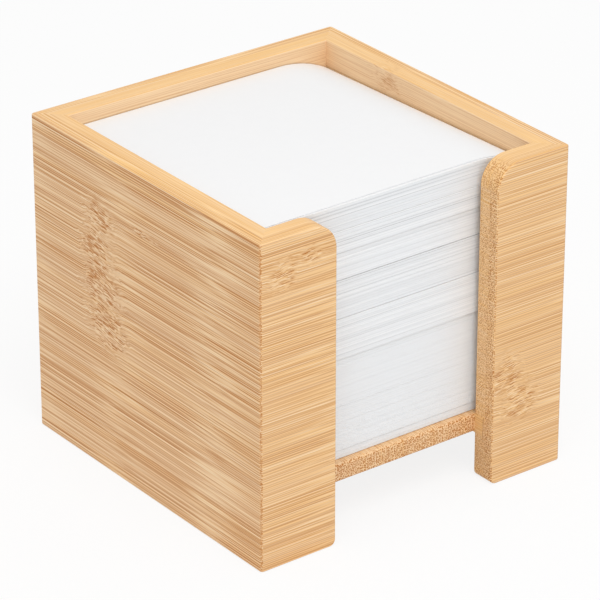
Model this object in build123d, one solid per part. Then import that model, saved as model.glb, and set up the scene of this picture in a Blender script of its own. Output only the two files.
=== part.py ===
from build123d import *
import os

# A bamboo memo box with a stack of loose square sheets, in millimetres.
# The origin is in the middle of the footprint, on the surface that the box stands on.
# X runs along the front from left to right, Y from front to back and Z upwards.

# Paper, which sets the inside of the box
sheet_side = 90.0
sheet_thickness = 0.1
side_clearance = 0.7        # from the paper to the left or right wall
front_clearance = 2.0       # from the paper to the front panels
back_clearance = 0.9        # from the paper to the back wall
packet_gap = 0.3            # air between one packet of sheets and the next
rim_above_paper = 1.4       # from the top sheet up to the rim
top_sheet_slip = 0.6        # how far the top sheet lies behind the stack's front

# Packets of sheets from the bottom up: thickness, slip to the right, slip to the back
packets = [
    (2.4, 0.2, 0.3),
    (13.4, -0.1, 0.1),
    (14.8, 0.1, 0.2),
    (11.8, 0.0, -0.3),
    (11.3, -0.2, 0.0),
    (8.1, 0.0, 0.2),
    (6.4, 0.0, -0.1),
    (7.2, 0.0, 0.0),
]

# The upper sheets lie loose: they hang down along the right side and fall away to the back
loose_depth = 22.4          # depth of the loose part below the top of the stack
edge_droop = 4.3            # how far the top sheet's right edge hangs below its middle
droop_width = 17.0          # width of the strip that hangs
back_fall = 2.7             # how much lower the top sheet lies at the back

# Boards, each laminated from two plies
outer_ply = 3.3
inner_ply = 4.5
opening_width = 55.8        # between the two front panels
corner_round = 1.0          # upright outer corners
edge_round = 0.5            # every other edge that a hand meets
panel_top_round = 8.0       # free upper corner of each front panel
panel_foot_round = 2.0      # free lower corner of each front panel

# Base plate, housed in a groove that runs round the inside of the boards
plate_height = 14.0         # from the table to the plate's underside
plate_thickness = 5.8
groove_depth = 3.8
tongue_clearance = 0.2      # between the plate's edge and the bottom of the groove
plate_edge_round = 1.0      # front edges of the plate in the opening

# Cutting shapes reach this far past what they cut
overshoot = 1.0

wall = outer_ply + inner_ply
half_width = sheet_side / 2 + side_clearance + wall
half_depth = (sheet_side + front_clearance + back_clearance) / 2 + wall
paper_setback = (front_clearance - back_clearance) / 2
plate_top = plate_height + plate_thickness
stack_height = sum(thickness + packet_gap for thickness, slip_right, slip_back in packets)
top_sheet_level = plate_top + stack_height + packet_gap
paper_top = top_sheet_level + sheet_thickness
box_height = paper_top + rim_above_paper

# Boards by the two corners that each runs between, as signs of X and Y. Zero is the middle of the front.
boards = {
    "left_wall": ((-1, -1), (-1, 1)),
    "back_wall": ((-1, 1), (1, 1)),
    "right_wall": ((1, 1), (1, -1)),
    "front_left_panel": ((-1, -1), (0, -1)),
    "front_right_panel": ((1, -1), (0, -1)),
}

# Plies by how far they reach in from the outer face
plies = {
    "outer_ply": (-overshoot, outer_ply),
    "inner_ply": (outer_ply, wall + overshoot),
}

on_the_ground = (Align.CENTER, Align.CENTER, Align.MIN)


def upright_block(inset, low, high):
    """Block over the whole footprint, drawn in by the inset on every side."""
    block = Box(2 * (half_width - inset), 2 * (half_depth - inset), high - low, align=on_the_ground)
    return Pos(0, 0, low) * block


def front_opening():
    """The gap between the front panels, wider at the top and foot where their free corners are round."""
    edge = opening_width / 2
    shoulder = box_height - panel_top_round
    outline = Curve() + [
        Line((edge, panel_foot_round), (edge, shoulder)),
        CenterArc((edge + panel_top_round, shoulder), panel_top_round, 90, 90),
        Line((edge + panel_top_round, box_height), (-edge - panel_top_round, box_height)),
        CenterArc((-edge - panel_top_round, shoulder), panel_top_round, 0, 90),
        Line((-edge, shoulder), (-edge, panel_foot_round)),
        CenterArc((-edge - panel_foot_round, panel_foot_round), panel_foot_round, 270, 90),
        Line((-edge - panel_foot_round, 0), (edge + panel_foot_round, 0)),
        CenterArc((edge + panel_foot_round, panel_foot_round), panel_foot_round, 180, 90),
    ]
    front = Plane(origin=(0, overshoot - half_depth + wall, 0), x_dir=(1, 0, 0), z_dir=(0, -1, 0))
    return extrude(front * make_face(outline), wall + 2 * overshoot)


def is_eased(edge):
    """True for an edge that is sanded round: not an inside corner, nor a line where a curve starts."""
    middle = edge @ 0.5
    ends = edge @ 1 - edge @ 0
    upright = abs(ends.Z) > abs(ends.X) + abs(ends.Y)
    at_opening = abs(middle.X) < opening_width / 2 + max(panel_top_round, panel_foot_round) + overshoot
    across_panel = at_opening and abs(ends.Y) > abs(ends.X) + abs(ends.Z)
    return not across_panel and (at_opening or not upright)


def box_shell():
    """All the boards in one piece, with round edges, before the groove is cut and they are parted."""
    block = upright_block(0, 0, box_height)
    block = fillet(block.edges().filter_by(Axis.Z), corner_round)
    inside = upright_block(wall, -overshoot, box_height + overshoot)
    shell = block - inside - front_opening()
    return fillet(shell.edges().filter_by(is_eased), edge_round)


def ply_region(first, last, near, far):
    """Upright block between two depths in from the outer face, cut at 45 degrees in each corner."""
    plan = [
        (sign_x * (half_width - depth), sign_y * (half_depth - depth))
        for (sign_x, sign_y), depth in ((first, near), (last, near), (last, far), (first, far))
    ]
    return extrude(make_face(Polyline(*plan, close=True)), box_height)


def board_plies():
    """Each board's two plies, parted at the mitred corners and at the glue line, with the plate's groove."""
    groove = upright_block(wall - groove_depth, plate_height, plate_top)
    grooved_shell = box_shell() - groove
    return {
        f"{board}_{ply}": grooved_shell & ply_region(*corners, *depths)
        for board, corners in boards.items()
        for ply, depths in plies.items()
    }


def is_plate_lip(edge):
    """True for the plate's two front edges between the panels."""
    middle = edge @ 0.5
    ends = edge @ 1 - edge @ 0
    along_front = abs(ends.X) > abs(ends.Y) + abs(ends.Z)
    return along_front and middle.Y < 0 and abs(middle.X) < opening_width / 2


def base_plate():
    """The plate with its edges in the groove, cut back to the panels' inner face in the opening."""
    plate = upright_block(wall - groove_depth + tongue_clearance, plate_height, plate_top)
    notch = Box(opening_width, 2 * wall, 2 * box_height, align=(Align.CENTER, Align.MAX, Align.CENTER))
    plate -= Pos(0, wall - half_depth, 0) * notch
    return fillet(plate.edges().filter_by(is_plate_lip), plate_edge_round)


def looseness(level):
    """From 0 where the sheets lie flat to 1 at the top of the stack."""
    return max(0.0, 1 - (paper_top - level) / loose_depth)


def sheet_line(level, fall):
    """A sheet seen from the front at a height in the stack: straight, then an arc down to its right edge."""
    middle = level - fall
    left = (-sheet_side / 2, middle)
    droop = edge_droop * looseness(level)
    if droop == 0:
        return Curve() + Line(left, (sheet_side / 2, middle))
    bend = (sheet_side / 2 - droop_width, middle)
    return Curve() + [Line(left, bend), TangentArc(bend, (sheet_side / 2, middle - droop), tangent=(1, 0))]


def packet_end(low, high, place):
    """A packet's outline seen from the front, at its front (place 0) or its back (place 1)."""
    lower = sheet_line(low, place * back_fall * looseness(low))
    upper = sheet_line(high, place * back_fall * looseness(high))
    outline = lower + upper + [Line(lower @ 0, upper @ 0), Line(lower @ 1, upper @ 1)]
    plane = Plane(origin=(0, (place - 0.5) * sheet_side, 0), x_dir=(1, 0, 0), z_dir=(0, -1, 0))
    return plane * make_face(outline)


def paper_block(low, high, slip_right, slip_back):
    """Sheets between two heights of the stack, as one solid."""
    block = loft([packet_end(low, high, 0), packet_end(low, high, 1)], ruled=True)
    return Pos(slip_right, paper_setback + slip_back, 0) * block


def paper():
    """The packets from the bottom up, and the single sheet on top."""
    nodes = {}
    low = plate_top + packet_gap
    for number, (thickness, slip_right, slip_back) in enumerate(packets, start=1):
        high = low + thickness
        nodes[f"paper_packet_{number}"] = paper_block(low, high, slip_right, slip_back)
        low = high + packet_gap
    nodes["top_sheet"] = paper_block(top_sheet_level, paper_top, 0, top_sheet_slip)
    return nodes


def main():
    os.makedirs("parts", exist_ok=True)
    nodes = {**board_plies(), "base_plate": base_plate(), **paper()}
    for name, shape in nodes.items():
        export_step(shape, f"parts/{name}.step")
    print(f"box {2 * half_width:.1f} x {2 * half_depth:.1f} x {box_height:.1f}, {len(nodes)} nodes")


main()
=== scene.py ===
import math
from collections import namedtuple

import bpy
import numpy as np
from bpy.props import FloatProperty, FloatVectorProperty, IntProperty, PointerProperty
from mathutils import Matrix, Vector


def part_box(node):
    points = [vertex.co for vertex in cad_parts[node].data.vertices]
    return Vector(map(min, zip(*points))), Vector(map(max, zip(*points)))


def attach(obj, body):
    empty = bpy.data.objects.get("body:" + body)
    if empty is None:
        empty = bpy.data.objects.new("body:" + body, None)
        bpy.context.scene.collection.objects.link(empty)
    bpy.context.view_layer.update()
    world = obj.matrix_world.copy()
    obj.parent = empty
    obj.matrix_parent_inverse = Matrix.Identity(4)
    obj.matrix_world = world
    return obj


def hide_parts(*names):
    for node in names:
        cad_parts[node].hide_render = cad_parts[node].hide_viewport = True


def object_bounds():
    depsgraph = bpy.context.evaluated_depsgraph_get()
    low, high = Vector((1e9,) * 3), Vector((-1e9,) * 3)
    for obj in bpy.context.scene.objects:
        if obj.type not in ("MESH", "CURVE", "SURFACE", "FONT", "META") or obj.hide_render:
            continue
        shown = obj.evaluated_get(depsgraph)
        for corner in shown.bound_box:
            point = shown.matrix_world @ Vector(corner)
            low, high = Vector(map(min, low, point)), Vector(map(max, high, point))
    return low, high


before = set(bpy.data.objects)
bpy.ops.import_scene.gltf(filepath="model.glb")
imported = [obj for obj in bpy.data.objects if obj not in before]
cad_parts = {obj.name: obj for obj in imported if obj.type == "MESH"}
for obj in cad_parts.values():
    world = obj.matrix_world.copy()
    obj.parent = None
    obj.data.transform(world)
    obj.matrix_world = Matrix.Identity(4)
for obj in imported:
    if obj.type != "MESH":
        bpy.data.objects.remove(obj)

bl_info = {
    "name": "Bamboo memo box",
    "version": (1, 0, 0),
    "blender": (4, 5, 0),
    "location": "3D View > Sidebar > Memo box",
    "description": "Finishes a bamboo memo box and fills it with loose memo sheets",
    "category": "Object",
}

MM = 0.001
CAD_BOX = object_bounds()

# How a board is cut: the direction of its grain, "x" or "y" for a standing board and "plate" for the lying
# one; the seed of its pattern; the contrast of its lines; the strength of its bands of tone; its warmth, from
# pale below 0 to honey above; its share of the usual fibre spacing and band width; how dark the fibres are in
# its end grain; and its knuckles.
Cut = namedtuple("Cut", "grain seed contrast bands warmth spacing dots knuckles", defaults=[()])

# Where a ring round the cane was cut through: its place and half sizes along and across the grain, in
# millimetres, and the slant of the fibres in it.
Knuckle = namedtuple("Knuckle", "along across half_length half_width slant")

PLY_CUTS = {
    "left_wall_outer_ply": Cut(
        "y", 1, contrast=1.1, bands=0.6, warmth=0.0, spacing=1.0, dots=0.9, knuckles=[
            Knuckle(21.0, 79.0, 8.0, 6.0, 0.12),
            Knuckle(22.0, 68.0, 10.0, 8.0, 0.14),
            Knuckle(20.0, 57.0, 10.0, 8.0, 0.14),
            Knuckle(18.0, 46.0, 10.0, 8.0, 0.12),
            Knuckle(-1.0, 82.0, 6.0, 1.2, 0.02),
        ],
    ),
    "left_wall_inner_ply": Cut("y", 2, contrast=0.7, bands=0.7, warmth=-0.4, spacing=1.0, dots=0.5),
    "back_wall_outer_ply": Cut(
        "x", 3, contrast=1.1, bands=0.6, warmth=0.1, spacing=1.0, dots=0.5, knuckles=[
            Knuckle(-12.0, 74.0, 8.0, 7.0, 0.14),
            Knuckle(-14.0, 62.0, 9.0, 8.0, 0.14),
            Knuckle(-13.0, 50.0, 8.0, 7.0, 0.12),
        ],
    ),
    "back_wall_inner_ply": Cut("x", 4, contrast=0.5, bands=0.6, warmth=-0.45, spacing=0.8, dots=0.5),
    "right_wall_outer_ply": Cut(
        "y", 5, contrast=1.1, bands=0.6, warmth=0.1, spacing=1.0, dots=0.5, knuckles=[
            Knuckle(14.0, 38.0, 8.0, 7.0, 0.12),
            Knuckle(16.0, 27.0, 9.0, 7.0, 0.14),
            Knuckle(13.0, 17.0, 8.0, 6.0, 0.12),
        ],
    ),
    "right_wall_inner_ply": Cut(
        "y", 6, contrast=0.5, bands=0.5, warmth=-0.45, spacing=0.8, dots=0.5, knuckles=[
            Knuckle(18.0, 96.0, 7.0, 5.0, 0.1),
        ],
    ),
    "front_left_panel_outer_ply": Cut(
        "x", 7, contrast=0.85, bands=0.2, warmth=0.35, spacing=0.9, dots=1.15, knuckles=[
            Knuckle(-46.0, 88.0, 5.0, 6.0, 0.1),
            Knuckle(-36.0, 92.0, 5.0, 3.0, 0.1),
        ],
    ),
    "front_left_panel_inner_ply": Cut("x", 8, contrast=0.6, bands=0.6, warmth=0.3, spacing=0.8, dots=0.8),
    "front_right_panel_outer_ply": Cut(
        "x", 9, contrast=0.8, bands=0.2, warmth=0.4, spacing=0.9, dots=1.15, knuckles=[
            Knuckle(33.0, 33.0, 6.0, 9.0, 0.12),
            Knuckle(38.0, 24.0, 7.0, 8.0, 0.12),
        ],
    ),
    "front_right_panel_inner_ply": Cut("x", 10, contrast=0.6, bands=0.6, warmth=0.3, spacing=0.8, dots=0.8),
}
PLATE_CUT = Cut("plate", 11, contrast=0.7, bands=0.7, warmth=0.0, spacing=0.8, dots=1.4)

# The axes that run along the grain, across it and into the board
GRAIN_AXES = {"x": (0, 2, 1), "y": (1, 2, 0), "plate": (1, 0, 2)}

# How far apart two neighbouring seeds lie in the pattern, in millimetres along, across and into the board
SEED_STEP = (157.0, 31.0, 13.0)

# How far inside the ends of the grain the darker arris at an upright corner begins and is full, in millimetres
ARRIS = (2.0, 1.2)

# A board's long edges: their share of its contrast, and their warmth
EDGE_CONTRAST = 0.7
EDGE_WARMTH = 0.6

# Thin lines: their spacing, their length in millimetres, their width as a share of the spacing, how unevenly
# they are placed, from 0 to 1, and a seed
Lines = namedtuple("Lines", "spacing length width randomness seed")

# Lines in the bamboo, with their spacing as a share of the fibre spacing
BUNDLES = Lines(1.2, 110.0, 0.20, randomness=1.0, seed=1.0)
FINE_FIBRES = Lines(0.72, 45.0, 0.44, randomness=0.5, seed=2.0)
PALE_FIBRES = Lines(0.72, 60.0, 0.36, randomness=0.5, seed=3.0)
RIBS = Lines(0.3, 30.0, 0.6, randomness=1.0, seed=4.0)
DARK_FLECKS = Lines(0.55, 3.4, 0.5, randomness=1.0, seed=5.0)
# Pale flecks in a knuckle are painted glints: short pale streaks that stand in for light glinting on the lacquer
PAINTED_GLINTS = Lines(0.5, 2.4, 0.5, randomness=1.0, seed=6.0)

# How strong the dark flecks and the painted glints in a knuckle are, next to the lines elsewhere
FLECK_AND_GLINT_STRENGTH = 1.3

# Bands of this strength let the fibres crowd as their pattern says, and weaker ones keep them more even
USUAL_BANDS = 0.6

# Fibre bundles along a millimetre of end grain
DOTS_PER_MM = 1.9

# Lines round the cut edges of the stack, with their spacing in millimetres: pale lines of painted highlight
# where a sheet sticks out, and grey lines of painted shade between the sheets
HIGHLIGHT_EDGE_LINES = Lines(0.75, 240.0, 0.34, randomness=1.0, seed=1.0)
SHADE_EDGE_LINES = Lines(1.1, 200.0, 0.22, randomness=1.0, seed=2.0)
FINE_SHADE_EDGE_LINES = Lines(0.6, 120.0, 0.40, randomness=1.0, seed=3.0)

# The edges' lines grow stronger from this far below the firm height to as far above it, in millimetres
LOOSENING = 4.0

# Where the painted highlight on the edges of the uppermost sheets begins and is full, in millimetres from the
# top of the stack
TOP_SHEETS_HIGHLIGHT = (-0.8, -0.4)

# The packet whose uppermost sheets stick out and carry a painted highlight, a thin bright line, and where the
# line begins, is full, starts to fade and ends, in millimetres from the top of that packet
HIGHLIGHTED_PACKET = "paper_packet_3"
PAINTED_HIGHLIGHT_LINE = (-0.5, -0.4, 0.0, 0.1)

# The dark seam below each packet, from the bottom up
SEAMS = {
    "paper_packet_1": 0.16 * MM,
    "paper_packet_2": 0.10 * MM,
    "paper_packet_3": 0.02 * MM,
    "paper_packet_4": 0.08 * MM,
    "paper_packet_5": 0.12 * MM,
    "paper_packet_6": 0.24 * MM,
    "paper_packet_7": 0.18 * MM,
    "paper_packet_8": 0.12 * MM,
}

# From the uppermost packet up to the upper side of the top sheet
TOP_SHEET_ROOM = 0.18 * MM

# Share of a sheet's room in the stack that its own thickness fills
SHEET_FILL = 0.96

# Straight steps that make up the arc of a hanging edge
ARC_STEPS = 16

# The floor lies this far below the feet, so that it doesn't share a plane with them
FLOOR_DROP = 0.05 * MM


# Settings

class MemoBoxBamboo(bpy.types.PropertyGroup):
    """Colours and grain of the bamboo."""
    ground: FloatVectorProperty(
        name="Ground", description="Pale wood between the fibres", subtype="COLOR",
        default=(0.90, 0.61, 0.345), min=0, max=1,
    )
    fibre: FloatVectorProperty(
        name="Fibre", description="Dark fibre bundles", subtype="COLOR",
        default=(0.48, 0.165, 0.020), min=0, max=1,
    )
    honey: FloatVectorProperty(
        name="Honey", description="Warmer bands in the wood", subtype="COLOR",
        default=(0.93, 0.57, 0.205), min=0, max=1,
    )
    # Pale also colours the painted glints in a knuckle
    pale: FloatVectorProperty(
        name="Pale", description="Paler bands and lines in the wood", subtype="COLOR",
        default=(0.96, 0.73, 0.47), min=0, max=1,
    )
    fibre_spacing: FloatProperty(
        name="Fibre spacing", description="Mean distance between fibre bundles",
        default=1.0 * MM, min=0.1 * MM, unit="LENGTH",
    )
    band_width: FloatProperty(
        name="Band width", description="Mean width of a band of one tone",
        default=5 * MM, min=1 * MM, unit="LENGTH",
    )
    roughness: FloatProperty(
        name="Roughness", description="Roughness of the lacquer",
        default=0.42, min=0, max=1, subtype="FACTOR",
    )


class MemoBoxPaper(bpy.types.PropertyGroup):
    """Sizes and colours of the loose sheets."""
    side: FloatProperty(
        name="Side", description="Side of a square sheet", default=90 * MM, min=10 * MM, unit="LENGTH",
    )
    sheet: FloatProperty(
        name="Sheet", description="Room that one sheet takes in the stack",
        default=0.1 * MM, min=0.05 * MM, unit="LENGTH",
    )
    loose_depth: FloatProperty(
        name="Loose depth", description="Depth of the loose sheets below the top of the stack",
        default=22.4 * MM, min=1 * MM, unit="LENGTH",
    )
    droop: FloatProperty(
        name="Droop", description="How far the top sheet's right edge hangs",
        default=4.3 * MM, min=0, unit="LENGTH",
    )
    droop_width: FloatProperty(
        name="Droop width", description="Width of the strip that hangs",
        default=17 * MM, min=1 * MM, unit="LENGTH",
    )
    fall: FloatProperty(
        name="Fall", description="How much lower the top sheet lies at the back",
        default=2.7 * MM, min=0, unit="LENGTH",
    )
    slip: FloatProperty(
        name="Slip", description="Usual distance that a sheet sticks out of line",
        default=0.02 * MM, min=0, unit="LENGTH",
    )
    fan: FloatProperty(
        name="Fan", description="Usual angle that a sheet is turned by",
        default=math.radians(0.02), min=0, unit="ROTATION",
    )
    seed: IntProperty(name="Seed", description="Number that the slips are drawn from", default=7, min=0)
    white: FloatVectorProperty(
        name="White", description="The sheets' faces", subtype="COLOR",
        default=(0.885, 0.885, 0.888), min=0, max=1,
    )
    edge: FloatVectorProperty(
        name="Edge", description="The sheets' cut edges", subtype="COLOR",
        default=(0.872, 0.896, 0.92), min=0, max=1,
    )
    # Colour of the painted highlights on the cut edges: the pale lines where a sheet sticks out, the uppermost
    # sheets' edges and one packet's bright line
    bright: FloatVectorProperty(
        name="Bright", description="Thin bright lines where a sheet sticks out", subtype="COLOR",
        default=(0.97, 0.985, 1.0), min=0, max=1,
    )
    # Colour of the painted shade in the grey lines between the sheets, and of the faint cloudy formation on the
    # faces
    shade: FloatVectorProperty(
        name="Shade", description="Thin grey lines between the sheets", subtype="COLOR",
        default=(0.56, 0.575, 0.595), min=0, max=1,
    )
    firm_height: FloatProperty(
        name="Firm height", description="Height up to which the sheets lie firmly on each other",
        default=52 * MM, min=0, unit="LENGTH",
    )


class MemoBoxStage(bpy.types.PropertyGroup):
    """Camera, light and floor."""
    azimuth: FloatProperty(
        name="Azimuth", description="Direction that the camera looks from, round from the front",
        default=math.radians(-37.212), unit="ROTATION",
    )
    elevation: FloatProperty(
        name="Elevation", description="Height of the camera above the horizon",
        default=math.radians(26.447), unit="ROTATION",
    )
    roll: FloatProperty(
        name="Roll", description="Turn of the camera about its line of sight",
        default=math.radians(0.026), unit="ROTATION",
    )
    distance: FloatProperty(
        name="Distance", description="From the camera to the middle of the box",
        default=1.0872, min=0.1, unit="LENGTH",
    )
    lens: FloatProperty(name="Lens", description="Focal length in millimetres", default=228.67, min=1)
    aside: FloatProperty(
        name="Aside", description="How far the camera is moved to its right",
        default=0.663 * MM, unit="LENGTH",
    )
    raised: FloatProperty(
        name="Raised", description="How far the camera is moved upwards in its own frame",
        default=-3.403 * MM, unit="LENGTH",
    )
    sky: FloatProperty(name="Sky", description="Strength of the light from all round", default=0.67, min=0)
    key: FloatProperty(name="Key", description="Power of the key light in watts", default=7.8, min=0)
    key_size: FloatProperty(
        name="Key size", description="Diameter of the key light", default=0.9, min=0.01, unit="LENGTH",
    )
    key_aim: FloatProperty(
        name="Key aim", description="Height of the point that the key light faces",
        default=50 * MM, unit="LENGTH",
    )
    key_distance: FloatProperty(
        name="Key distance", description="From the key light to the point that it faces",
        default=1.3, min=0.1, unit="LENGTH",
    )
    key_direction: FloatVectorProperty(
        name="Key direction", description="From the box towards the key light", subtype="DIRECTION",
        default=(-0.19, -0.46, 0.88),
    )
    floor: FloatVectorProperty(
        name="Floor", description="Colour of the floor", subtype="COLOR",
        default=(0.9, 0.9, 0.9), min=0, max=1,
    )
    floor_size: FloatProperty(
        name="Floor size", description="Side of the square floor", default=4.0, min=0.5, unit="LENGTH",
    )
    floor_white: FloatProperty(
        name="Floor white", description="Share of plain, unshaded white in the floor that is seen",
        default=0.85, min=0, max=1, subtype="FACTOR",
    )


def settings(context):
    return context.scene.memo_box_bamboo, context.scene.memo_box_paper, context.scene.memo_box_stage


# Shader nodes

FLOAT = "NodeSocketFloat"
COLOUR = "NodeSocketColor"
VECTOR = "NodeSocketVector"


class Wiring:
    """Adds and joins the nodes of one tree, whether a material's, a world's or a group's."""

    def __init__(self, tree):
        self.tree = tree

    def add(self, kind, inputs=(), **options):
        """A node with its options set, and its inputs linked or filled in order or by name."""
        node = self.tree.nodes.new(kind)
        for name, value in options.items():
            setattr(node, name, value)
        pairs = inputs.items() if isinstance(inputs, dict) else enumerate(inputs)
        for key, value in pairs:
            self.fill(node.inputs[key], value)
        return node

    def group(self, name, build, inputs):
        """The outputs of a node for the group of that name, which is built when it is first asked for."""
        tree = bpy.data.node_groups.get(name) or build(name)
        return self.add("ShaderNodeGroup", inputs, node_tree=tree).outputs

    def fill(self, socket, value):
        if isinstance(value, bpy.types.NodeSocket):
            self.tree.links.new(value, socket)
        else:
            socket.default_value = value

    def math(self, operation, *values, clamp=False):
        return self.add("ShaderNodeMath", values, operation=operation, use_clamp=clamp).outputs[0]

    def product(self, first, *others):
        for factor in others:
            first = self.math("MULTIPLY", first, factor)
        return first

    def between(self, share, low, high, clamp=False):
        """Low where the share is 0, high where it is 1, and in proportion elsewhere."""
        numbers = isinstance(low, float) and isinstance(high, float)
        rise = high - low if numbers else self.math("SUBTRACT", high, low)
        return self.math("MULTIPLY_ADD", share, rise, low, clamp=clamp)

    def ramp(self, value, low, high):
        """0 at low, 1 at high and a smooth step between them, clamped."""
        inputs = {"Value": value, "From Min": low, "From Max": high}
        return self.add("ShaderNodeMapRange", inputs, interpolation_type="SMOOTHSTEP").outputs["Result"]

    def vector(self, operation, *values):
        return self.add("ShaderNodeVectorMath", values, operation=operation).outputs["Vector"]

    def combine(self, *parts):
        return self.add("ShaderNodeCombineXYZ", parts).outputs[0]

    def separate(self, vector):
        return tuple(self.add("ShaderNodeSeparateXYZ", (vector,)).outputs)

    def reorder(self, vector, axes):
        parts = self.separate(vector)
        return self.combine(*(parts[axis] for axis in axes))

    def noise(self, vector, pace, detail=2.0, roughness=0.5):
        """Smooth noise about 0.5 that changes along each axis at its own pace, in waves per unit."""
        inputs = {
            "Vector": self.vector("MULTIPLY", vector, pace), "Scale": 1.0,
            "Detail": detail, "Roughness": roughness,
        }
        return self.add("ShaderNodeTexNoise", inputs).outputs["Fac"]

    def cells(self, vector, scale, randomness):
        """The outputs of a flat pattern of cells, each round a point of its own."""
        inputs = {"Vector": vector, "Scale": scale, "Randomness": randomness}
        return self.add("ShaderNodeTexVoronoi", inputs, voronoi_dimensions="2D").outputs

    def mix(self, factor, first, second):
        """The first colour where the factor is 0 and the second where it is 1."""
        node = self.add("ShaderNodeMix", data_type="RGBA")
        sockets = {socket.identifier: socket for socket in node.inputs}
        self.fill(sockets["Factor_Float"], factor)
        self.fill(sockets["A_Color"], first)
        self.fill(sockets["B_Color"], second)
        return next(socket for socket in node.outputs if socket.identifier == "Result_Color")


def new_group(name, inputs, outputs):
    """An empty node group with named sockets, and its wiring, group input and group output."""
    tree = bpy.data.node_groups.new(name, "ShaderNodeTree")
    for socket, kind in inputs.items():
        tree.interface.new_socket(socket, in_out="INPUT", socket_type=kind)
    for socket, kind in outputs.items():
        tree.interface.new_socket(socket, in_out="OUTPUT", socket_type=kind)
    wiring = Wiring(tree)
    return wiring, wiring.add("NodeGroupInput").outputs, wiring.add("NodeGroupOutput").inputs


def new_material(name):
    """An empty material and its wiring."""
    material = bpy.data.materials.new(name)
    material.use_nodes = True
    material.node_tree.nodes.clear()
    return material, Wiring(material.node_tree)


def in_millimetres(wiring, vector):
    return wiring.vector("MULTIPLY", vector, (1 / MM, 1 / MM, 1 / MM))


def knuckle_group(name):
    """One knuckle, where a ring round the cane was cut through: a mask, 1 near its centre and falling to 0 on
    a ragged outline, and how far it pushes the fibres across, in proportion to the distance along the grain.
    The vector is in the grain frame: along the grain, across it and into the board."""
    wiring, given, made = new_group(
        name,
        {"Vector": VECTOR, "Centre": VECTOR, "Half size": VECTOR, "Slant": FLOAT},
        {"Mask": FLOAT, "Shift": FLOAT},
    )
    offset = wiring.vector("SUBTRACT", given["Vector"], given["Centre"])
    ragged = wiring.between(wiring.noise(given["Vector"], (0.2, 0.5, 0.5), detail=3), -0.7, 0.7)
    along, across = wiring.separate(wiring.vector("DIVIDE", offset, given["Half size"]))[:2]
    along, across = wiring.math("ADD", along, ragged), wiring.math("ADD", across, ragged)
    squares = wiring.math("MULTIPLY_ADD", along, along, wiring.product(across, across))
    mask = wiring.ramp(wiring.math("SQRT", squares), 1.2, 0.5)
    wiring.fill(made["Mask"], mask)
    wiring.fill(made["Shift"], wiring.product(wiring.separate(offset)[0], given["Slant"], mask))
    return wiring.tree


def lines_group(name):
    """Thin straight lines along a direction, each in a long cell of its own with a tone and a strength.
    A cell is about Length long and Spacing wide, and its line is Width times as wide. Randomness is for the
    cells' places and the lines' strengths: at 0 the lines are even and at 1 some are four times as faint."""
    wiring, given, made = new_group(
        name,
        {
            "Along": FLOAT, "Across": FLOAT, "Spacing": FLOAT, "Length": FLOAT, "Width": FLOAT,
            "Randomness": FLOAT, "Seed": FLOAT,
        },
        {"Line": FLOAT, "Tone": FLOAT},
    )
    place = wiring.combine(
        wiring.math("ADD", wiring.math("DIVIDE", given["Along"], given["Length"]), given["Seed"]),
        wiring.math("ADD", wiring.math("DIVIDE", given["Across"], given["Spacing"]), given["Seed"]),
        0.0,
    )
    cells = wiring.cells(place, 1.0, given["Randomness"])
    chances = wiring.separate(cells["Color"])
    from_core = wiring.vector("ABSOLUTE", wiring.vector("SUBTRACT", place, cells["Position"]))
    ahead, aside = wiring.separate(from_core)[:2]
    half_width = wiring.product(given["Width"], wiring.between(chances[0], 0.3, 0.7))
    core = wiring.ramp(wiring.math("DIVIDE", aside, half_width), 1.6, 0.4)
    core = wiring.product(core, wiring.ramp(ahead, 0.6, 0.3))
    weakest = wiring.between(given["Randomness"], 1.0, 0.25)
    wiring.fill(made["Line"], wiring.product(core, wiring.between(chances[1], weakest, 1.0)))
    wiring.fill(made["Tone"], chances[2])
    return wiring.tree


def add_lines(wiring, along, across, spacing, lines):
    return wiring.group("thin lines", lines_group, {
        "Along": along, "Across": across, "Spacing": spacing, "Length": lines.length, "Width": lines.width,
        "Randomness": lines.randomness, "Seed": lines.seed,
    })


def fibre_course(wiring, given, sideways):
    """How far across the grain a point lies for the bands, which waver slightly, and for the fibres, which are
    also churned up and pushed aside in a knuckle."""
    waver = wiring.noise(given["Vector"], (0.010, 0.025, 0.025), detail=1)
    straight = wiring.math("ADD", sideways, wiring.between(waver, -0.4, 0.4))
    churn = wiring.between(wiring.noise(given["Vector"], (0.4, 0.5, 0.5), detail=2), -0.45, 0.45)
    bent = wiring.math("MULTIPLY_ADD", churn, given["Knuckle"], straight)
    return straight, wiring.math("SUBTRACT", bent, given["Shift"])


def end_grain_dots(wiring, given, arris):
    """A dark dot for each fibre bundle that is cut through, in bands that are darker and paler, and darkest
    on the arris."""
    across, depth = wiring.separate(given["Vector"])[1:]
    dots = wiring.cells(wiring.combine(across, depth, 0.0), DOTS_PER_MM, 0.7)
    width = wiring.between(wiring.separate(dots["Color"])[0], 0.22, 0.42)
    dot = wiring.ramp(wiring.math("DIVIDE", dots["Distance"], width), 1.5, 0.6)
    bands = wiring.ramp(wiring.noise(given["Vector"], (0.0, 0.12, 0.5), detail=1), 0.40, 0.60)
    darkness = wiring.product(wiring.between(bands, 0.7, 1.0), given["Dots"])
    return wiring.product(dot, wiring.math("MAXIMUM", darkness, arris))


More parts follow.
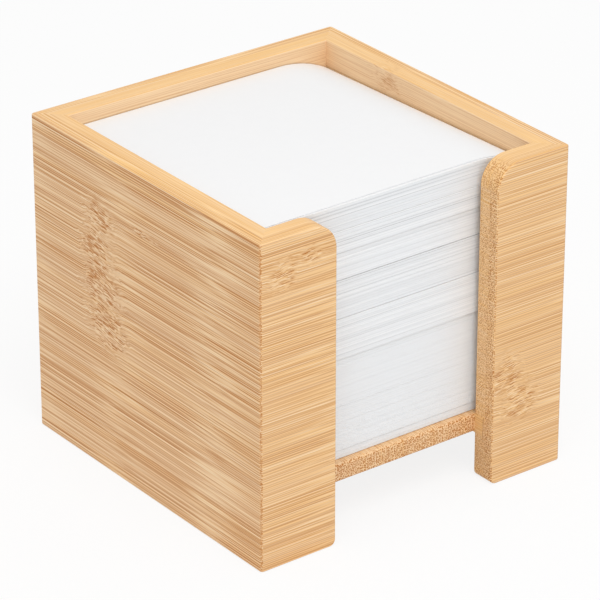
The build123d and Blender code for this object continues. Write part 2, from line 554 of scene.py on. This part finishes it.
def wood_tone(wiring, given, along, place, warmth, crowd):
    """The wood between the fibres: the ground colour with bands of honey and of pale along the grain. Warmth
    adds honey all over, and more where the fibres crowd, and below 0 it makes the wood pale."""
    bands = given["Bands"]
    tone = wiring.noise(wiring.combine(along, place, 0.0), (0.005, 1.0, 1.0), roughness=0.55)
    honeyed = wiring.math("MULTIPLY_ADD", crowd, wiring.product(bands, 0.3), warmth)
    warm_bands = wiring.product(wiring.ramp(tone, 0.48, 0.75), 0.4)
    honeyed = wiring.math("MULTIPLY_ADD", warm_bands, bands, honeyed, clamp=True)
    pale_bands = wiring.product(wiring.ramp(tone, 0.50, 0.28), 0.5, bands)
    paler = wiring.math("MAXIMUM", pale_bands, wiring.product(warmth, -1.0))
    return wiring.mix(paler, wiring.mix(honeyed, given["Ground"], given["Honey"]), given["Pale"])


def bamboo_group(name):
    """Bamboo cut along its fibre bundles. Faces along the grain show long dark and pale lines that waver
    slightly and crowd together in places, and the end grain shows a dot for each bundle. A knuckle breaks the
    lines into short slanting dark flecks and pale ones, which are painted glints, with darker patches between
    them."""
    wiring, given, made = new_group(
        name,
        {
            "Vector": VECTOR, "Normal": VECTOR, "Knuckle": FLOAT, "Shift": FLOAT, "Spacing": FLOAT,
            "Band width": FLOAT, "Contrast": FLOAT, "Bands": FLOAT, "Warmth": FLOAT, "Dots": FLOAT,
            "Arris": FLOAT, "Ground": COLOUR, "Fibre": COLOUR, "Honey": COLOUR, "Pale": COLOUR,
        },
        {"Color": COLOUR, "Fibres": FLOAT, "Height": FLOAT},
    )
    knuckle = given["Knuckle"]
    calm = wiring.math("SUBTRACT", 1.0, knuckle)
    along, across, depth = wiring.separate(given["Vector"])

    # Which way the surface faces
    ahead, aside, outward = (wiring.math("ABSOLUTE", part) for part in wiring.separate(given["Normal"]))
    on_edge = wiring.math("GREATER_THAN", aside, outward)
    end_grain = wiring.ramp(ahead, 0.25, 0.65)
    short_of_end = wiring.math("SUBTRACT", 1.0, wiring.ramp(ahead, 0.75, 0.95))
    arris = wiring.product(short_of_end, given["Arris"], wiring.ramp(aside, 0.4, 0.1), 0.75)
    contrast = wiring.product(given["Contrast"], wiring.between(on_edge, 1.0, EDGE_CONTRAST))
    warmth = wiring.between(on_edge, given["Warmth"], EDGE_WARMTH)

    # The lines, and where they crowd together
    straight, bent = fibre_course(wiring, given, wiring.between(on_edge, across, depth))
    bundles, fine, pale, ribs, dark_flecks, painted_glints = (
        add_lines(wiring, along, bent, wiring.product(given["Spacing"], lines.spacing), lines)
        for lines in (BUNDLES, FINE_FIBRES, PALE_FIBRES, RIBS, DARK_FLECKS, PAINTED_GLINTS)
    )
    place = wiring.math("DIVIDE", straight, given["Band width"])
    crowd = wiring.noise(wiring.combine(along, place, 7.0), (0.006, 1.0, 1.0), detail=1)
    crowd = wiring.ramp(crowd, 0.38, 0.62)
    denser = wiring.between(wiring.math("DIVIDE", given["Bands"], USUAL_BANDS), 0.5, crowd)

    # Dark fibres, as lines, flecks or dots
    dark = wiring.math(
        "MAXIMUM",
        wiring.product(bundles["Line"], wiring.between(denser, 0.5, 0.85)),
        wiring.product(fine["Line"], wiring.between(denser, 0.65, 0.95)),
    )
    dark = wiring.product(dark, wiring.between(calm, 0.3, 1.0))
    dark = wiring.math("MAXIMUM", dark, wiring.product(dark_flecks["Line"], knuckle, FLECK_AND_GLINT_STRENGTH))
    dark = wiring.math("MULTIPLY", dark, contrast, clamp=True)
    fibres = wiring.between(end_grain, dark, end_grain_dots(wiring, given, arris), clamp=True)

    # The wood's own colour, shaded along the fibres, in a knuckle's patches and in the end grain
    wood = wood_tone(wiring, given, along, place, warmth, crowd)
    streak = wiring.product(wiring.math("ADD", bundles["Tone"], fine["Tone"]), 0.5)
    shade = wiring.product(wiring.math("SUBTRACT", streak, 0.35, clamp=True), 0.10)
    shade = wiring.math("MULTIPLY_ADD", ribs["Line"], 0.12, shade)
    shade = wiring.product(shade, wiring.math("SUBTRACT", 1.0, end_grain), contrast)
    wood = wiring.mix(shade, wood, given["Fibre"])
    patches = wiring.ramp(wiring.noise(given["Vector"], (0.15, 0.25, 0.25), detail=2), 0.50, 0.68)
    patches = wiring.product(wiring.between(patches, 0.04, 0.38), knuckle)
    cut = wiring.math("MULTIPLY_ADD", arris, 0.45, wiring.product(given["Dots"], 0.08))
    wood = wiring.mix(wiring.math("MULTIPLY_ADD", end_grain, cut, patches), wood, given["Fibre"])

    # Pale lines, and the painted glints in a knuckle, with the dark fibres over them
    bright = wiring.product(pale["Line"], wiring.between(denser, 1.2, 1.5), calm)
    # Painted glints: pale flecks in a knuckle that stand in for light glinting on the lacquer
    bright = wiring.math("MAXIMUM", bright, wiring.product(painted_glints["Line"], knuckle, FLECK_AND_GLINT_STRENGTH))
    wood = wiring.mix(wiring.math("MULTIPLY", bright, contrast, clamp=True), wood, given["Pale"])
    wiring.fill(made["Color"], wiring.mix(fibres, wood, given["Fibre"]))
    wiring.fill(made["Fibres"], fibres)
    wiring.fill(made["Height"], wiring.math("SUBTRACT", wiring.product(streak, 0.3), fibres))
    return wiring.tree


def bamboo_material(node, look, cut):
    """Lacquered bamboo for one board. The pattern lies in the grain frame, in millimetres: along the grain,
    across it and into the board. The end grain is darker still on the rounded corners of the box, which cut
    through the fibres."""
    material, wiring = new_material(node + " bamboo")
    coordinates = wiring.add("ShaderNodeTexCoord").outputs
    axes = GRAIN_AXES[cut.grain]
    here = in_millimetres(wiring, wiring.reorder(coordinates["Object"], axes))
    normal = wiring.reorder(coordinates["Normal"], axes)
    moved = wiring.vector("ADD", here, [cut.seed * step for step in SEED_STEP])

    reach = CAD_BOX[1][axes[0]] / MM
    beside = wiring.math("ABSOLUTE", wiring.separate(here)[0])
    arris = wiring.ramp(beside, reach - ARRIS[0], reach - ARRIS[1])
    mask = shift = 0.0
    for along, across, half_length, half_width, slant in cut.knuckles:
        knuckle = wiring.group("bamboo knuckle", knuckle_group, {
            "Vector": here, "Centre": (along, across, 0.0), "Half size": (half_length, half_width, 1.0),
            "Slant": slant,
        })
        mask = wiring.math("MAXIMUM", knuckle["Mask"], mask)
        shift = wiring.math("ADD", knuckle["Shift"], shift)

    bamboo = wiring.group("bamboo", bamboo_group, {
        "Vector": moved, "Normal": normal, "Knuckle": mask, "Shift": shift, "Arris": arris,
        "Spacing": look.fibre_spacing / MM * cut.spacing, "Band width": look.band_width / MM * cut.spacing,
        "Contrast": cut.contrast, "Bands": cut.bands, "Warmth": cut.warmth, "Dots": cut.dots,
        "Ground": (*look.ground, 1), "Fibre": (*look.fibre, 1), "Honey": (*look.honey, 1),
        "Pale": (*look.pale, 1),
    })
    bump = wiring.add("ShaderNodeBump", {
        "Strength": 0.12, "Distance": 0.05 * MM, "Height": bamboo["Height"],
    })
    shader = wiring.add("ShaderNodeBsdfPrincipled", {
        "Base Color": bamboo["Color"],
        "Roughness": wiring.math("MULTIPLY_ADD", bamboo["Fibres"], 0.15, look.roughness),
        "Normal": bump.outputs[0],
        "Specular IOR Level": 0.25,
    })
    wiring.add("ShaderNodeOutputMaterial", {"Surface": shader.outputs[0]})
    return material


def paper_material(name, look):
    """Uncoated paper: a faint cloudy formation on the faces. The cut edges of a stack show thin lines of painted
    highlight and painted shade, where a sheet sticks out or stands back, and they are stronger in the loose
    upper half. The edges of the uppermost sheets carry a painted highlight."""
    material, wiring = new_material(name)
    coordinates = wiring.add("ShaderNodeTexCoord").outputs
    place = in_millimetres(wiring, coordinates["Object"])
    x, y = wiring.separate(place)[:2]
    level = wiring.add("ShaderNodeAttribute", attribute_name="level").outputs["Fac"]
    level = wiring.product(level, 1 / MM)

    # Lines of painted highlight and painted shade round the cut edges, at each sheet's own level, so that they
    # follow the stack where it hangs
    round_stack = wiring.math("ADD", x, y)
    pale, grey, fine = (
        add_lines(wiring, round_stack, level, lines.spacing, lines)["Line"]
        for lines in (HIGHLIGHT_EDGE_LINES, SHADE_EDGE_LINES, FINE_SHADE_EDGE_LINES)
    )
    firm = look.firm_height / MM
    loose = wiring.between(wiring.ramp(level, firm - LOOSENING, firm + LOOSENING), 0.2, 1.0)
    grey = wiring.math("MAXIMUM", wiring.product(grey, 0.75), wiring.product(fine, 0.25))
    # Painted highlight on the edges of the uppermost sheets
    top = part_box("top_sheet")[1].z / MM
    pale = wiring.math("MAXIMUM", pale, wiring.ramp(level, *(top + offset for offset in TOP_SHEETS_HIGHLIGHT)))
    # Painted highlight: a thin bright line where the uppermost sheets of one packet stick out
    packet_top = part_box(HIGHLIGHTED_PACKET)[1].z / MM
    begin, full, fade, end = (packet_top + offset for offset in PAINTED_HIGHLIGHT_LINE)
    line = wiring.product(wiring.ramp(level, begin, full), wiring.ramp(level, end, fade))
    pale = wiring.math("MAXIMUM", wiring.product(pale, loose), line)

    cloud = wiring.noise(place, (0.35, 0.35, 0.35), detail=4, roughness=0.6)
    face = wiring.mix(wiring.product(cloud, 0.06), (*look.white, 1), (*look.shade, 1))
    # The cut edges, with grey lines of painted shade and then pale lines of painted highlight
    edge = wiring.mix(wiring.product(grey, loose), (*look.edge, 1), (*look.shade, 1))
    edge = wiring.mix(pale, edge, (*look.bright, 1))
    facing_up = wiring.math("ABSOLUTE", wiring.separate(coordinates["Normal"])[2])
    bump = wiring.add("ShaderNodeBump", {"Strength": 0.1, "Distance": 0.02 * MM, "Height": cloud})
    shader = wiring.add("ShaderNodeBsdfPrincipled", {
        "Base Color": wiring.mix(wiring.ramp(facing_up, 0.3, 0.7), edge, face),
        "Roughness": 0.85,
        "Normal": bump.outputs[0],
        "Specular IOR Level": 0.2,
    })
    wiring.add("ShaderNodeOutputMaterial", {"Surface": shader.outputs[0]})
    return material


# Paper shapes

def packet_levels():
    """Each packet's lowest and highest level at its front left corner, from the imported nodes. The packets fill
    the stack, but for the seams below them and the room below the top sheet."""
    names = list(SEAMS)
    floors = ["base_plate", *names[:-1]]
    lows = [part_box(below)[1].z + SEAMS[name] for below, name in zip(floors, names)]
    highs = [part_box(name)[1].z for name in names[:-1]]
    highs.append(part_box("top_sheet")[1].z - TOP_SHEET_ROOM)
    return dict(zip(names, zip(lows, highs)))


def sag(look, x, y, level, top):
    """How far a sheet lies below its level: nothing in the firm part of the stack. Towards the top it falls
    evenly to the back, and its right edge hangs on an arc that leaves the flat part without a kink. The arc's
    radius is the sum of the hanging strip's width squared and the droop squared, over twice the droop."""
    looseness = np.clip(1 - (top - level) / look.loose_depth, 0, 1)
    back = look.fall * looseness * (y / look.side + 0.5)
    droop = np.maximum(look.droop * looseness, 1e-9)
    radius = (look.droop_width ** 2 + droop ** 2) / (2 * droop)
    beyond = np.clip(x - (look.side / 2 - look.droop_width), 0, look.droop_width)
    return back + radius - np.sqrt(radius ** 2 - beyond ** 2)


def slab_faces(index):
    """The four-cornered faces of closed slabs, facing outwards, from the numbers of their points by slab,
    station from left to right, front (0) or back (1), and lower (0) or upper (1) side."""
    def faces(*corners):
        numbers = [section[..., depth, side] for section, depth, side in corners]
        return np.stack(numbers, axis=-1).reshape(-1, 4)

    a, b = index[:, :-1], index[:, 1:]
    left, right = index[:, 0], index[:, -1]
    return np.concatenate([
        faces((a, 0, 1), (b, 0, 1), (b, 1, 1), (a, 1, 1)),
        faces((a, 0, 0), (a, 1, 0), (b, 1, 0), (b, 0, 0)),
        faces((a, 0, 0), (b, 0, 0), (b, 0, 1), (a, 0, 1)),
        faces((a, 1, 0), (a, 1, 1), (b, 1, 1), (b, 1, 0)),
        faces((left, 0, 0), (left, 0, 1), (left, 1, 1), (left, 1, 0)),
        faces((right, 0, 0), (right, 1, 0), (right, 1, 1), (right, 0, 1)),
    ])


def sheets_piece(name, look, levels, slips, turns, top):
    """Every sheet of a packet as a thin closed slab over a row of stations from left to right: one at the left
    edge and the others where the sheet may hang. A sheet is a square turned and slipped in its plane, its
    faces lie half a thickness above and below its level, and each station is lowered by the sag there. The
    level is kept at each point for the paper's lines."""
    steps = ARC_STEPS if levels[-1] > top - look.loose_depth else 1
    hanging = np.linspace(look.side / 2 - look.droop_width, look.side / 2, steps + 1)
    stations = np.append(-look.side / 2, hanging)
    x = np.broadcast_to(stations[None, :, None], (len(levels), len(stations), 2))
    y = np.broadcast_to(np.array([-0.5, 0.5])[None, None, :] * look.side, x.shape)
    turn = turns[:, None, None]
    placed_x = x * np.cos(turn) - y * np.sin(turn) + slips[:, 0, None, None]
    placed_y = x * np.sin(turn) + y * np.cos(turn) + slips[:, 1, None, None]
    middle = levels[:, None, None] - sag(look, x, y, levels[:, None, None], top)
    half = look.sheet * SHEET_FILL / 2
    lower = np.stack([placed_x, placed_y, middle - half], axis=-1)
    upper = np.stack([placed_x, placed_y, middle + half], axis=-1)
    points = np.stack([lower, upper], axis=3)
    size = points.shape[:4]
    index = np.arange(np.prod(size)).reshape(size)
    mesh = bpy.data.meshes.new(name)
    mesh.from_pydata(points.reshape(-1, 3).tolist(), [], slab_faces(index).tolist())
    heights = np.broadcast_to(levels[:, None, None, None], size).astype(np.float32)
    mesh.attributes.new("level", "FLOAT", "POINT").data.foreach_set("value", heights.ravel())
    mesh.validate()
    mesh.update()
    piece = bpy.data.objects.new(name, mesh)
    bpy.context.collection.objects.link(piece)
    return piece


def finish_sheets(piece, node, look):
    """Gives a piece of the stack its paper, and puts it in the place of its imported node."""
    name = "memo paper"
    piece.data.materials.append(bpy.data.materials.get(name) or paper_material(name, look))
    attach(piece, node)
    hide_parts(node)


def finish_board(node, look, cut):
    """Gives a packed board its bamboo in place of the material that it came with."""
    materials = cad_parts[node].data.materials
    materials.clear()
    materials.append(bamboo_material(node, look, cut))


# Operators

class MEMOBOX_OT_boards(bpy.types.Operator):
    """Finishes the boards' plies in lacquered bamboo"""
    bl_idname = "memobox.boards"
    bl_label = "Boards"

    def execute(self, context):
        look = settings(context)[0]
        for node, cut in PLY_CUTS.items():
            finish_board(node, look, cut)
        return {"FINISHED"}


class MEMOBOX_OT_base_plate(bpy.types.Operator):
    """Finishes the base plate in lacquered bamboo with its grain from front to back"""
    bl_idname = "memobox.base_plate"
    bl_label = "Base plate"

    def execute(self, context):
        finish_board("base_plate", settings(context)[0], PLATE_CUT)
        return {"FINISHED"}


class MEMOBOX_OT_paper_packets(bpy.types.Operator):
    """Fills the box with loose memo sheets, each a thin slab of its own"""
    bl_idname = "memobox.paper_packets"
    bl_label = "Memo sheets"

    def execute(self, context):
        look = settings(context)[1]
        draw = np.random.default_rng(look.seed)
        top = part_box("top_sheet")[1].z
        for node, (low, high) in packet_levels().items():
            count = round((high - low) / look.sheet)
            levels = low + (np.arange(count) + 0.5) * (high - low) / count
            centre = (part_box(node)[0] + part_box(node)[1]) / 2
            slips = draw.normal(0, look.slip, (count, 2)) + np.array([centre.x, centre.y])
            turns = draw.normal(0, look.fan, count)
            piece = sheets_piece("memo_sheets_" + node[-1], look, levels, slips, turns, top)
            finish_sheets(piece, node, look)
        return {"FINISHED"}


class MEMOBOX_OT_top_sheet(bpy.types.Operator):
    """Lays the single top sheet on the stack"""
    bl_idname = "memobox.top_sheet"
    bl_label = "Top sheet"

    def execute(self, context):
        look = settings(context)[1]
        low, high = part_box("top_sheet")
        centre = (low + high) / 2
        levels = np.array([high.z - look.sheet / 2])
        slips = np.array([[centre.x, centre.y]])
        piece = sheets_piece("memo_top_sheet", look, levels, slips, np.zeros(1), high.z)
        finish_sheets(piece, "top_sheet", look)
        return {"FINISHED"}


def seen_directly(wiring):
    """1 for rays from the camera, reflections and glass, and 0 for rays that light the object."""
    path = wiring.add("ShaderNodeLightPath").outputs
    rays = wiring.math("ADD", path["Is Camera Ray"], path["Is Glossy Ray"])
    return wiring.math("ADD", rays, path["Is Transmission Ray"], clamp=True)


class MEMOBOX_OT_stage(bpy.types.Operator):
    """Sets the camera at the photograph's angle, the soft light and the pale floor"""
    bl_idname = "memobox.stage"
    bl_label = "Stage"

    def execute(self, context):
        look = settings(context)[2]
        self.camera(context, look)
        self.world(context, look)
        self.key_light(context, look)
        self.floor(context, look)
        context.scene.view_settings.view_transform = "Standard"
        return {"FINISHED"}

    def camera(self, context, look):
        """A camera that looks at the middle of the box, then is turned and moved in its own frame."""
        data = bpy.data.cameras.new("camera")
        data.lens = look.lens
        data.sensor_width = 36.0
        data.clip_start, data.clip_end = 0.05, 20.0
        camera = bpy.data.objects.new("camera", data)
        context.collection.objects.link(camera)
        across = math.cos(look.elevation)
        back = Vector((
            math.sin(look.azimuth) * across, -math.cos(look.azimuth) * across, math.sin(look.elevation),
        ))
        right = (-back).cross(Vector((0, 0, 1))).normalized()
        up = right.cross(-back)
        turned_right = right * math.cos(look.roll) + up * math.sin(look.roll)
        turned_up = up * math.cos(look.roll) - right * math.sin(look.roll)
        aim = Vector((0, 0, CAD_BOX[1].z / 2))
        place = aim + back * look.distance + turned_right * look.aside + turned_up * look.raised
        turn = Matrix((turned_right, turned_up, back)).transposed().to_4x4()
        camera.matrix_world = Matrix.Translation(place) @ turn
        context.scene.camera = camera

    def world(self, context, look):
        """Even light from all round, and plain white where the camera sees past the object and the floor."""
        world = bpy.data.worlds.new("studio")
        world.use_nodes = True
        context.scene.world = world
        world.node_tree.nodes.clear()
        wiring = Wiring(world.node_tree)
        seen = wiring.add("ShaderNodeBackground", {"Color": (1, 1, 1, 1), "Strength": 1.0})
        lit = wiring.add("ShaderNodeBackground", {"Color": (1, 1, 1, 1), "Strength": look.sky})
        mixed = wiring.add("ShaderNodeMixShader", (seen_directly(wiring), lit.outputs[0], seen.outputs[0]))
        wiring.add("ShaderNodeOutputWorld", {"Surface": mixed.outputs[0]})

    def key_light(self, context, look):
        """A large round lamp that faces a point above the middle of the footprint."""
        data = bpy.data.lights.new("key", "AREA")
        data.shape = "DISK"
        data.size = look.key_size
        data.energy = look.key
        key = bpy.data.objects.new("key", data)
        context.collection.objects.link(key)
        towards = Vector(look.key_direction).normalized()
        key.location = Vector((0, 0, look.key_aim)) + towards * look.key_distance
        key.rotation_mode = "QUATERNION"
        key.rotation_quaternion = towards.to_track_quat("Z", "Y")

    def floor(self, context, look):
        """A square floor just below the feet. It is nearly white to the camera with a faint shadow on it,
        lights the object as a pale floor does, and is clear from below."""
        half, level = look.floor_size / 2, -FLOOR_DROP
        corners = [(-half, -half, level), (half, -half, level), (half, half, level), (-half, half, level)]
        mesh = bpy.data.meshes.new("floor")
        mesh.from_pydata(corners, [], [(0, 1, 2, 3)])
        floor = bpy.data.objects.new("floor", mesh)
        context.collection.objects.link(floor)
        material, wiring = new_material("pale floor")
        lit = wiring.add("ShaderNodeBsdfDiffuse", {"Color": (*look.floor, 1)})
        white = wiring.add("ShaderNodeEmission", {"Color": (1, 1, 1, 1), "Strength": 1.0})
        share = wiring.product(seen_directly(wiring), look.floor_white)
        top = wiring.add("ShaderNodeMixShader", (share, lit.outputs[0], white.outputs[0]))
        from_below = wiring.add("ShaderNodeNewGeometry").outputs["Backfacing"]
        clear = wiring.add("ShaderNodeBsdfTransparent")
        both = wiring.add("ShaderNodeMixShader", (from_below, top.outputs[0], clear.outputs[0]))
        wiring.add("ShaderNodeOutputMaterial", {"Surface": both.outputs[0]})
        mesh.materials.append(material)


class MEMOBOX_PT_panel(bpy.types.Panel):
    """Lists the pieces of the memo box in the sidebar"""
    bl_idname = "MEMOBOX_PT_panel"
    bl_label = "Memo box"
    bl_space_type = "VIEW_3D"
    bl_region_type = "UI"
    bl_category = "Memo box"

    def draw(self, context):
        for operator in OPERATORS:
            self.layout.operator(operator.bl_idname)
        for group in settings(context):
            for name in group.bl_rna.properties.keys():
                if name not in ("rna_type", "name"):
                    self.layout.prop(group, name)


OPERATORS = (
    MEMOBOX_OT_boards,
    MEMOBOX_OT_base_plate,
    MEMOBOX_OT_paper_packets,
    MEMOBOX_OT_top_sheet,
    MEMOBOX_OT_stage,
)
CLASSES = (MemoBoxBamboo, MemoBoxPaper, MemoBoxStage, *OPERATORS, MEMOBOX_PT_panel)


def register():
    for cls in CLASSES:
        bpy.utils.register_class(cls)
    bpy.types.Scene.memo_box_bamboo = PointerProperty(type=MemoBoxBamboo)
    bpy.types.Scene.memo_box_paper = PointerProperty(type=MemoBoxPaper)
    bpy.types.Scene.memo_box_stage = PointerProperty(type=MemoBoxStage)


def unregister():
    del bpy.types.Scene.memo_box_bamboo
    del bpy.types.Scene.memo_box_paper
    del bpy.types.Scene.memo_box_stage
    for cls in reversed(CLASSES):
        bpy.utils.unregister_class(cls)


def main():
    register()
    for operator in OPERATORS:
        group, name = operator.bl_idname.split(".")
        getattr(getattr(bpy.ops, group), name)()


if __name__ == "__main__":
    main()
